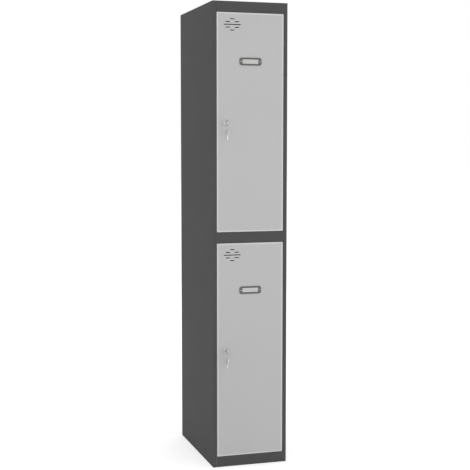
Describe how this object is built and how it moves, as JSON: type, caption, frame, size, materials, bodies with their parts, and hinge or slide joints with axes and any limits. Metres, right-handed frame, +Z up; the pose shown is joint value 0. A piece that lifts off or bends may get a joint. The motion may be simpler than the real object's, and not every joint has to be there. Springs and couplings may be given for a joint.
{
  "type": "two-door locker",
  "caption": "Tall narrow steel locker with an upper and a lower compartment, each shut by a vented flush door with a card holder, a cam lock and keys.",
  "frame": {"origin": "on the floor, under the middle of the space that the locker and its keys take up", "axes": "+Z up, -Y out of the doors, +X to the right of someone who faces the doors"},
  "size_m": [0.3, 0.534, 1.8],
  "materials": {
    "carcass_grey": "dark grey powder coat, fine texture, satin",
    "door_grey": "light grey powder coat, fine texture, satin",
    "holder_grey": "moulded grey plastic, satin",
    "card_white": "blank white card, matt",
    "nickel": "nickel plate, bright",
    "zinc": "zinc-plated steel, satin",
    "black_rubber": "moulded rubber, matt",
    "black_nylon": "moulded nylon, satin"
  },
  "bodies": {
    "cabinet": {"left_side_panel": "carcass_grey", "right_side_panel": "carcass_grey", "back_panel": "carcass_grey", "base_panel": "carcass_grey", "middle_shelf": "carcass_grey", "roof_panel": "carcass_grey", "lower_bottom_hinge_bush": "black_nylon", "lower_top_hinge_bush": "black_nylon", "lower_bottom_buffer": "black_rubber", "lower_top_buffer": "black_rubber", "lower_coat_hook": "zinc", "upper_bottom_hinge_bush": "black_nylon", "upper_top_hinge_bush": "black_nylon", "upper_bottom_buffer": "black_rubber", "upper_top_buffer": "black_rubber", "upper_coat_hook": "zinc"},
    "lower_door_set": {"lower_door": "door_grey", "lower_door_stiffener": "door_grey", "lower_bottom_hinge_pin": "zinc", "lower_top_hinge_pin": "zinc", "lower_card_holder": "holder_grey", "lower_card": "card_white", "lower_holder_rivet_left": "zinc", "lower_holder_rivet_right": "zinc", "lower_lock_housing": "nickel", "lower_lock_nut": "zinc"},
    "lower_lock_core": {"lower_lock_plug": "nickel", "lower_lock_cam": "zinc", "lower_cam_screw": "zinc", "lower_key": "nickel"},
    "lower_ring": {"lower_key_ring": "nickel"},
    "lower_spare": {"lower_spare_key": "nickel"},
    "upper_door_set": {"upper_door": "door_grey", "upper_door_stiffener": "door_grey", "upper_bottom_hinge_pin": "zinc", "upper_top_hinge_pin": "zinc", "upper_card_holder": "holder_grey", "upper_card": "card_white", "upper_holder_rivet_left": "zinc", "upper_holder_rivet_right": "zinc", "upper_lock_housing": "nickel", "upper_lock_nut": "zinc"},
    "upper_lock_core": {"upper_lock_plug": "nickel", "upper_lock_cam": "zinc", "upper_cam_screw": "zinc", "upper_key": "nickel"},
    "upper_ring": {"upper_key_ring": "nickel"},
    "upper_spare": {"upper_spare_key": "nickel"}
  },
  "joints": [
    {"name": "lower_door_hinge", "type": "hinge", "parent": "cabinet", "child": "lower_door_set", "pos_m": [0.1205, -0.22645, 0.46], "axis": [0, 0, 1], "range_deg": [0, 110]},
    {"name": "lower_lock_turn", "type": "hinge", "parent": "lower_door_set", "child": "lower_lock_core", "pos_m": [-0.0995, -0.23295, 0.46], "axis": [0, 1, 0], "range_deg": [0, 90]},
    {"name": "lower_ring_swing", "type": "hinge", "parent": "lower_lock_core", "child": "lower_ring", "pos_m": [-0.0995, -0.25605, 0.4582], "axis": [1, 0, 0], "range_deg": [-80, 8]},
    {"name": "lower_spare_swing", "type": "hinge", "parent": "lower_ring", "child": "lower_spare", "pos_m": [-0.0995, -0.25605, 0.4312], "axis": [1, 0, 0], "range_deg": [-60, 10]},
    {"name": "upper_door_hinge", "type": "hinge", "parent": "cabinet", "child": "upper_door_set", "pos_m": [0.1205, -0.22645, 1.34], "axis": [0, 0, 1], "range_deg": [0, 110]},
    {"name": "upper_lock_turn", "type": "hinge", "parent": "upper_door_set", "child": "upper_lock_core", "pos_m": [-0.0995, -0.23295, 1.34], "axis": [0, 1, 0], "range_deg": [0, 90]},
    {"name": "upper_ring_swing", "type": "hinge", "parent": "upper_lock_core", "child": "upper_ring", "pos_m": [-0.0995, -0.25605, 1.3382], "axis": [1, 0, 0], "range_deg": [-80, 8]},
    {"name": "upper_spare_swing", "type": "hinge", "parent": "upper_ring", "child": "upper_spare", "pos_m": [-0.0995, -0.25605, 1.3112], "axis": [1, 0, 0], "range_deg": [-60, 10]}
  ]
}
